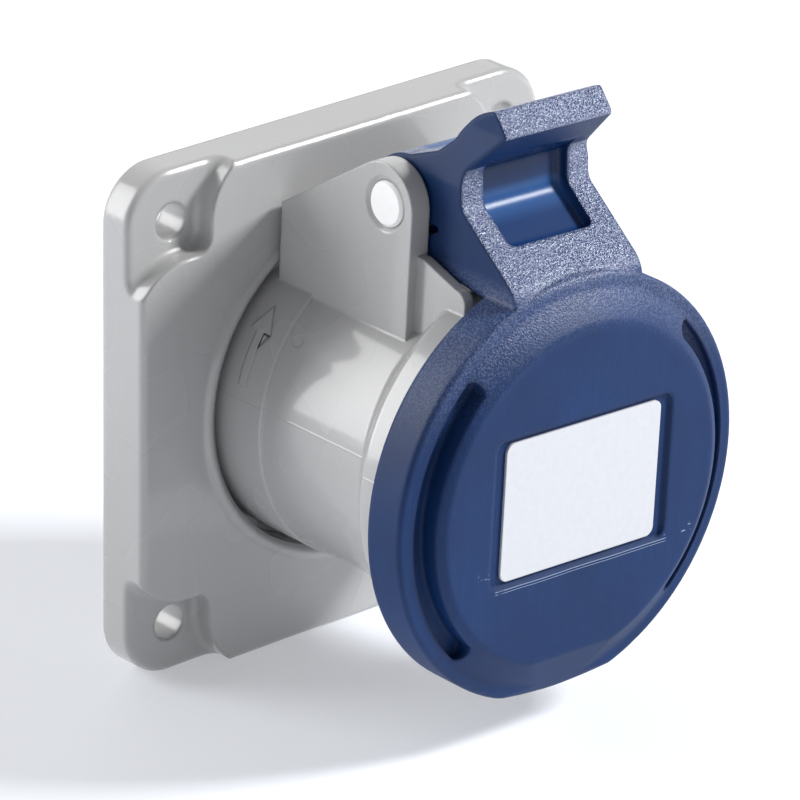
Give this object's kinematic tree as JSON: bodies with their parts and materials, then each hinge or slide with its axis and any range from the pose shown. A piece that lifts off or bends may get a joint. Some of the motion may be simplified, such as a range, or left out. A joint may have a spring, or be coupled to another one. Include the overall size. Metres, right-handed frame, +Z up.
{
  "type": "panel socket",
  "caption": "Flanged panel socket outlet with a barrel housing, sleeve contacts in an insulating core and a sprung hinged lid with a finger lip",
  "frame": {"origin": "centre of the square screw pattern on the flange's back face, which lies on the panel", "axes": "+Z up on the panel with the hinge on top, +X to the right seen from the front, the front faces -Y; the front half is turned 2.23 degrees clockwise seen from the front, as pictured"},
  "size_m": [0.075, 0.0733, 0.0897],
  "materials": {
    "flange_plastic": "fine satin moulded grain, light grey",
    "housing_plastic": "satin moulded, light grey",
    "lid_plastic": "blue, fine matte grain on the face, spark eroded on neck and lip",
    "label_film": "plain white film",
    "seal_rubber": "soft dark seal",
    "carrier_plastic": "dark moulded insulator",
    "retainer_plastic": "dark grey moulded insulator",
    "contact_brass": "turned brass",
    "spring_steel": "drawn wire and strip",
    "screw_steel": "zinc plated steel",
    "pin_plastic": "white moulded pin"
  },
  "bodies": {
    "panel": {"mounting_flange": "flange_plastic", "flange_gasket": "seal_rubber"},
    "socket_front": {"front_housing": "housing_plastic", "housing_seal": "seal_rubber", "contact_carrier": "carrier_plastic", "insulating_tubes": "retainer_plastic", "contact_retainer": "retainer_plastic", "live_contact": "contact_brass", "neutral_contact": "contact_brass", "earth_contact": "contact_brass", "live_spring_ring": "spring_steel", "neutral_spring_ring": "spring_steel", "earth_spring_ring": "spring_steel", "terminal_screws": "screw_steel", "carrier_screws": "screw_steel", "retainer_screws": "screw_steel", "hinge_pin": "pin_plastic", "lid_spring": "spring_steel"},
    "lid": {"lid": "lid_plastic", "lid_gasket": "seal_rubber", "lid_label": "label_film"}
  },
  "joints": [
    {"name": "bayonet_turn", "type": "hinge", "parent": "panel", "child": "socket_front", "pos_m": [0, 0, 0], "axis": [0, -1, 0], "range_deg": [0, 25]},
    {"name": "lid_hinge", "type": "hinge", "parent": "socket_front", "child": "lid", "pos_m": [0.00139, -0.0302, 0.03567], "axis": [-0.9992, 0, 0.0389], "range_deg": [0, 115], "stiffness_Nm_per_rad": 0.02, "springref_deg": -57.3, "deforming": ["lid_spring"]}
  ]
}
